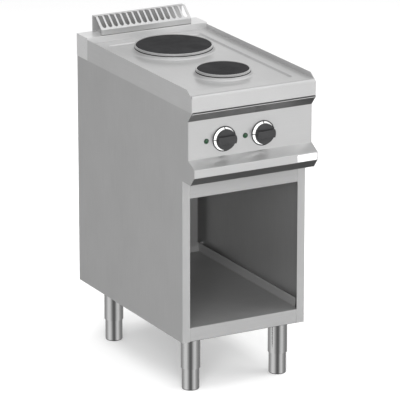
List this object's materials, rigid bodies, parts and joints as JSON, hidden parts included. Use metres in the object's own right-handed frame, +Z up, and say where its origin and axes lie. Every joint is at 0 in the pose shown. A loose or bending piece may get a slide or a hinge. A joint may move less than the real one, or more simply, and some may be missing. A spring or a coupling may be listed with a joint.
{
  "type": "hot plate burner",
  "caption": "Free-standing electric range: cast iron hotplates in a pressed steel worktop with a rear flue, rotary controls, and an open storage cabinet on adjustable legs.",
  "frame": {"origin": "on the floor, under the middle of the overall footprint", "axes": "+X to the right of a user who stands at the controls, +Y from the user to the wall, +Z up"},
  "size_m": [0.4, 0.73, 0.976],
  "materials": {
    "badge": "gloss",
    "bezel_black": "gloss moulding",
    "cabinet_steel": "satin",
    "cast_iron": "seasoned, matt",
    "ceramic": "matt ceramic",
    "dial_marks": "print",
    "dial_ring": "gloss",
    "fastener": "zinc plated",
    "flue_steel": "satin",
    "gland": "matt",
    "hidden_steel": "plain",
    "inner_steel": "satin",
    "knob_black": "satin moulding",
    "lamp_body": "matt",
    "lamp_green": "clear tinted moulding",
    "leg_steel": "polished",
    "panel_steel": "satin",
    "ring_steel": "polished",
    "seal": "matt",
    "switch_body": "matt",
    "worktop_steel": "satin"
  },
  "bodies": {
    "range": {"badge_plate": "badge", "base_channel_front": "inner_steel", "base_channel_rear": "inner_steel", "bottom_shelf": "cabinet_steel", "cable_gland": "gland", "clamp_bridge_front": "hidden_steel", "clamp_bridge_rear": "hidden_steel", "clamp_nuts": "hidden_steel", "clamp_studs": "hidden_steel", "compartment_back": "inner_steel", "compartment_ceiling": "inner_steel", "control_panel": "panel_steel", "control_panel_screws": "fastener", "dial_bezel_left": "bezel_black", "dial_bezel_right": "bezel_black", "dial_marks": "dial_marks", "dial_ring_left": "dial_ring", "dial_ring_right": "dial_ring", "duct_floor": "inner_steel", "flue_grille": "flue_steel", "flue_rivets": "fastener", "gland_nut": "gland", "heating_coil_front": "hidden_steel", "heating_coil_rear": "hidden_steel", "hotplate_front": "cast_iron", "hotplate_rear": "cast_iron", "lamp_body_left": "lamp_body", "lamp_body_right": "lamp_body", "lamp_lens_left": "lamp_green", "lamp_lens_right": "lamp_green", "leg_front_left": "leg_steel", "leg_front_right": "leg_steel", "leg_nuts": "fastener", "leg_rear_left": "leg_steel", "leg_rear_right": "leg_steel", "overflow_ring_front": "ring_steel", "overflow_ring_rear": "ring_steel", "plate_seal_front": "seal", "plate_seal_rear": "seal", "plate_terminals": "ceramic", "rear_panel": "inner_steel", "rear_panel_screws": "fastener", "rear_riser": "worktop_steel", "side_panel_left": "cabinet_steel", "side_panel_right": "cabinet_steel", "switch_body_left": "switch_body", "switch_body_right": "switch_body", "terminal_block": "switch_body", "terminal_pan_front": "hidden_steel", "terminal_pan_rear": "hidden_steel", "top_rail": "cabinet_steel", "worktop": "worktop_steel"},
    "knob_left_turning": {"knob_left": "knob_black", "switch_shaft_left": "fastener"},
    "knob_right_turning": {"knob_right": "knob_black", "switch_shaft_right": "fastener"},
    "adjustable_foot_front_left": {"foot_front_left": "leg_steel"},
    "adjustable_foot_front_right": {"foot_front_right": "leg_steel"},
    "adjustable_foot_rear_left": {"foot_rear_left": "leg_steel"},
    "adjustable_foot_rear_right": {"foot_rear_right": "leg_steel"}
  },
  "joints": [
    {"name": "knob_left_turn", "type": "hinge", "parent": "range", "child": "knob_left_turning", "pos_m": [-0.084, -0.3278, 0.7655], "axis": [0, 1, 0], "continuous": true},
    {"name": "knob_right_turn", "type": "hinge", "parent": "range", "child": "knob_right_turning", "pos_m": [0.041, -0.3278, 0.7655], "axis": [0, 1, 0], "continuous": true},
    {"name": "foot_front_left_adjust", "type": "slide", "parent": "range", "child": "adjustable_foot_front_left", "axis": [0, 0, -1], "range_m": [-0.03, 0.03]},
    {"name": "foot_front_right_adjust", "type": "slide", "parent": "range", "child": "adjustable_foot_front_right", "axis": [0, 0, -1], "range_m": [-0.03, 0.03]},
    {"name": "foot_rear_left_adjust", "type": "slide", "parent": "range", "child": "adjustable_foot_rear_left", "axis": [0, 0, -1], "range_m": [-0.03, 0.03]},
    {"name": "foot_rear_right_adjust", "type": "slide", "parent": "range", "child": "adjustable_foot_rear_right", "axis": [0, 0, -1], "range_m": [-0.03, 0.03]}
  ]
}
